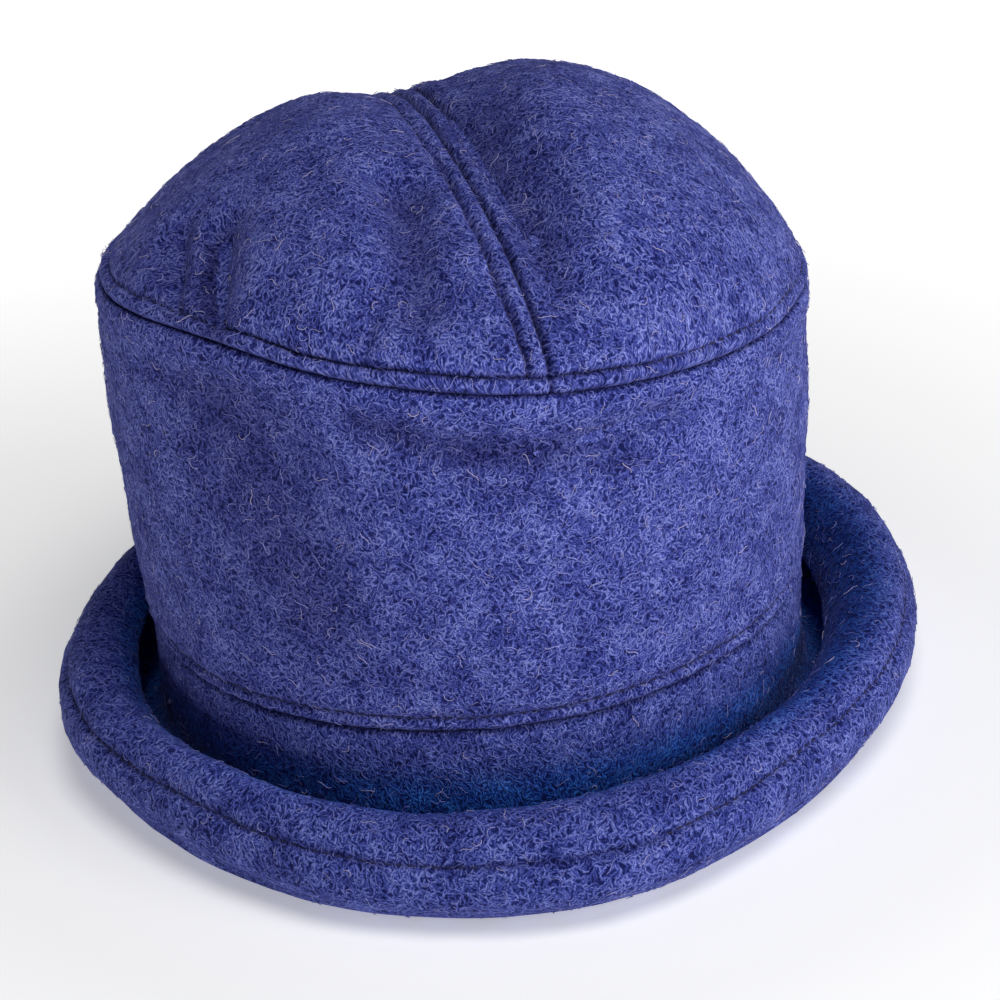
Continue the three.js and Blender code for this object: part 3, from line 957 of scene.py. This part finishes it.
stitch_nodes, given = node_group("stitches", {"Spacing": "Float", "Length": "Float",
                                              "Thickness": "Float", "Thread": "Material"})
path = given.node("GeometryNodeMeshToCurve", None, {"Mesh": given})
path = given.node("GeometryNodeResampleCurve", {"mode": "LENGTH"},
                  {"Curve": path, "Length": given.output("Spacing")})
tangent = given.node("GeometryNodeInputTangent")
aligned = given.node("FunctionNodeAlignRotationToVector", {"axis": "X"}, {"Vector": tangent})
grain = given.node("GeometryNodeMeshUVSphere", None, {"Segments": 6, "Rings": 5, "Radius": 0.5})
size = given.node("ShaderNodeCombineXYZ", None, {"X": given.output("Length"),
                                                 "Y": given.output("Thickness"),
                                                 "Z": given.output("Thickness")})
laid = given.node("GeometryNodeInstanceOnPoints", None,
                  {"Points": path, "Instance": grain, "Rotation": aligned, "Scale": size})
laid = given.node("GeometryNodeRealizeInstances", None, {"Geometry": laid})
laid = given.node("GeometryNodeSetMaterial", None,
                  {"Geometry": laid, "Material": given.output("Thread")})
given.node("NodeGroupOutput", None, {"Geometry": laid})

thread, _, thread_shader = new_material("thread")
feed(thread_shader, {"Base Color": colour(30, 30, 74), "Roughness": 0.75})
STITCH = {"Spacing": 0.0034, "Length": 0.0027, "Thickness": 0.0006, "Thread": thread}


def stitching(name, lines, closed):
    """Stitches along some lines, in one object."""
    points = np.concatenate(lines)
    edges = []
    first = 0
    for line in lines:
        count = len(line)
        edges += [(first + i, first + i + 1) for i in range(count - 1)]
        if closed:
            edges.append((first + count - 1, first))
        first += count
    path_mesh = bpy.data.meshes.new(name + "_path")
    path_mesh.from_pydata(((points + HAT_AXIS) / 1000).tolist(), edges, [])
    stitches = run_nodes(name, path_mesh, stitch_nodes, STITCH)
    stitches.data.polygons.foreach_set("use_smooth", [True] * len(stitches.data.polygons))
    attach(stitches, "root")


stitching("tip_stitches", left_stitch_lines + right_stitch_lines, closed=False)
stitching("band_stitches", [band_stitch_line], closed=True)
stitching("roll_stitches", [roll_line], closed=True)


# Stray hairs: single wool fibres that stand off the felt, curved, nearly flat and paler than it.
# Four shapes of hair are strewn over each piece's face side, away from the seams.
hair_nodes, given = node_group("hairs", {"Hairs per square metre": "Float", "Thickness": "Float",
                                         "Seed": "Int", "Wool": "Material"})
nap = given.node("GeometryNodeInputNamedAttribute", {"data_type": "FLOAT"}, {"Name": "nap"})
strewn = given.node("GeometryNodeDistributePointsOnFaces", {"distribute_method": "RANDOM"},
                    {"Mesh": given, "Density": nap * given.output("Hairs per square metre"),
                     "Seed": given.output("Seed")})
upright = strewn.output("Rotation")
ring = given.node("GeometryNodeCurvePrimitiveCircle", {"mode": "RADIUS"},
                  {"Resolution": 3, "Radius": given.output("Thickness")})
HAIR_THICKNESS = 0.00013
SHORTEST_HAIR = 0.35
LONGEST_HAIR = 0.85
FIRST_SEED = 3
HAIR_SHAPES = [
    [(-2.8, 0, 0), (-1.0, 1.4, 0.3), (1.0, -1.7, 0.3), (2.8, 0.3, 0.0)],
    [(-2.2, 0, 0), (-1.5, 2.0, 0.4), (1.5, 2.1, 0.4), (2.0, -0.3, 0.0)],
    [(-3.2, 0, 0), (-1.0, -0.9, 0.3), (0.5, 2.4, 0.5), (2.2, 1.4, 0.2)],
    [(-1.8, 0, 0), (0.2, -2.0, 0.3), (2.0, 1.6, 0.4), (0.4, 2.2, 0.4)],
]
shapes = given.node("GeometryNodeJoinGeometry")
for shape in HAIR_SHAPES:
    start, first_handle, last_handle, end = (tuple(v / 1000 for v in point) for point in shape)
    hair = given.node("GeometryNodeCurvePrimitiveBezierSegment", None,
                      {"Resolution": 4, "Start": start, "Start Handle": first_handle,
                       "End Handle": last_handle, "End": end})
    hair = given.node("GeometryNodeCurveToMesh", None,
                      {"Curve": hair, "Profile Curve": ring, "Fill Caps": True})
    hair = given.node("GeometryNodeGeometryToInstance", None, {"Geometry": hair})
    hair_nodes.links.new(hair.socket, shapes.socket.node.inputs["Geometry"])


def chance(low, high, seed, kind="FLOAT"):
    """A random value for each hair."""
    sockets = {"FLOAT_VECTOR": (0, 1, 0), "FLOAT": (2, 3, 1), "INT": (4, 5, 2)}
    lowest, highest, output = sockets[kind]
    return given.node("FunctionNodeRandomValue", {"data_type": kind},
                      {lowest: low, highest: high, "Seed": seed}, output)


spin = chance((0, 0, 0), (0, 0, math.tau), 5, "FLOAT_VECTOR")
turned_hair = given.node("FunctionNodeRotateRotation", {"rotation_space": "LOCAL"},
                         {"Rotation": upright, "Rotate By": spin})
hairs = given.node("GeometryNodeInstanceOnPoints", None,
                   {"Points": strewn, "Instance": shapes, "Pick Instance": True,
                    "Instance Index": chance(0, 3, 6, "INT"), "Rotation": turned_hair,
                    "Scale": chance(SHORTEST_HAIR, LONGEST_HAIR, 7)})
hairs = given.node("GeometryNodeStoreNamedAttribute", {"data_type": "FLOAT", "domain": "INSTANCE"},
                   {"Geometry": hairs, "Name": "tint", "Value": chance(0.0, 1.0, 8)})
hairs = given.node("GeometryNodeRealizeInstances", None, {"Geometry": hairs})
hairs = given.node("GeometryNodeSetMaterial", None,
                   {"Geometry": hairs, "Material": given.output("Wool")})
given.node("NodeGroupOutput", None, {"Geometry": hairs})

stray_wool, start, wool_shader = new_material("stray_wool")
tint = start.node("ShaderNodeAttribute", {"attribute_name": "tint"}, output="Fac")
WOOL = [(0.0, colour(56, 62, 146)), (0.5, colour(96, 104, 194)),
        (0.9, colour(156, 160, 228)), (1.0, colour(206, 196, 228))]
wool_colour = start.node("ShaderNodeValToRGB", {"stops": WOOL}, {"Fac": tint})
feed(wool_shader, {"Base Color": wool_colour, "Roughness": 0.9, "Specular IOR Level": 0.2})

FUZZ = [
    dict(felt=band, density=105000.0, slot="crown_felt"),
    dict(felt=tip_left, density=130000.0, slot="crown_felt"),
    dict(felt=tip_right, density=130000.0, slot="crown_felt"),
    dict(felt=brim, density=62000.0, slot="brim_felt"),
]
for number, row in enumerate(FUZZ):
    fuzz = run_nodes(row["felt"].name.replace("felt", "hairs"), row["felt"].data, hair_nodes,
                     {"Hairs per square metre": row["density"], "Thickness": HAIR_THICKNESS,
                      "Seed": FIRST_SEED + number, "Wool": stray_wool})
    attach(fuzz, "root")


# Pale table and soft studio light: one broad lamp low at the right front, one above the front,
# and a little white light all round. The table's paper glows with light of its own, though it is
# no lamp: painted light, weaker near the hat and stronger away from it.
TABLE_REACH = 80
GLOW = [(0.16, (0.46, 0.46, 0.46, 1)), (0.5, (1, 1, 1, 1))]
corners = [(TABLE_REACH * x, TABLE_REACH * y, 0) for x, y in ((-1, -1), (1, -1), (1, 1), (-1, 1))]
floor_mesh = bpy.data.meshes.new("floor")
floor_mesh.from_pydata(corners, [], [(0, 1, 2, 3)])
floor = new_object("floor", floor_mesh)
paper, start, paper_shader = new_material("white_paper")
table_place = start.node("ShaderNodeTexCoord", output="Object")
from_hat = start.node("ShaderNodeVectorMath", {"operation": "LENGTH"}, {0: table_place},
                      output="Value")
glow = start.node("ShaderNodeValToRGB", {"stops": GLOW}, {"Fac": from_hat})
feed(paper_shader, {"Base Color": (0.9, 0.9, 0.9, 1), "Roughness": 0.8,
                    "Emission Color": glow, "Emission Strength": 0.8})
floor_mesh.materials.append(paper)

world = bpy.data.worlds.new("studio")
world.use_nodes = True
world.node_tree.nodes["Background"].inputs["Color"].default_value = (1, 1, 1, 1)
world.node_tree.nodes["Background"].inputs["Strength"].default_value = 0.04
bpy.context.scene.world = world

LAMP_SIZE = 0.9
LAMPS = [
    dict(name="key", place=(1.0, -1.16, 0.62), power=10.4),
    dict(name="top", place=(0.08, -0.6, 1.6), power=12.4),
]
for lamp in LAMPS:
    data = bpy.data.lights.new(lamp["name"], "AREA")
    data.shape = "DISK"
    data.size = LAMP_SIZE
    data.energy = lamp["power"]
    place = Vector(lamp["place"])
    back = place - Vector((0, 0, AIM_HEIGHT))
    new_object(lamp["name"], data).matrix_world = Matrix.LocRotScale(
        place, back.to_track_quat("Z", "Y"), None)
bpy.context.scene.view_settings.view_transform = "Standard"
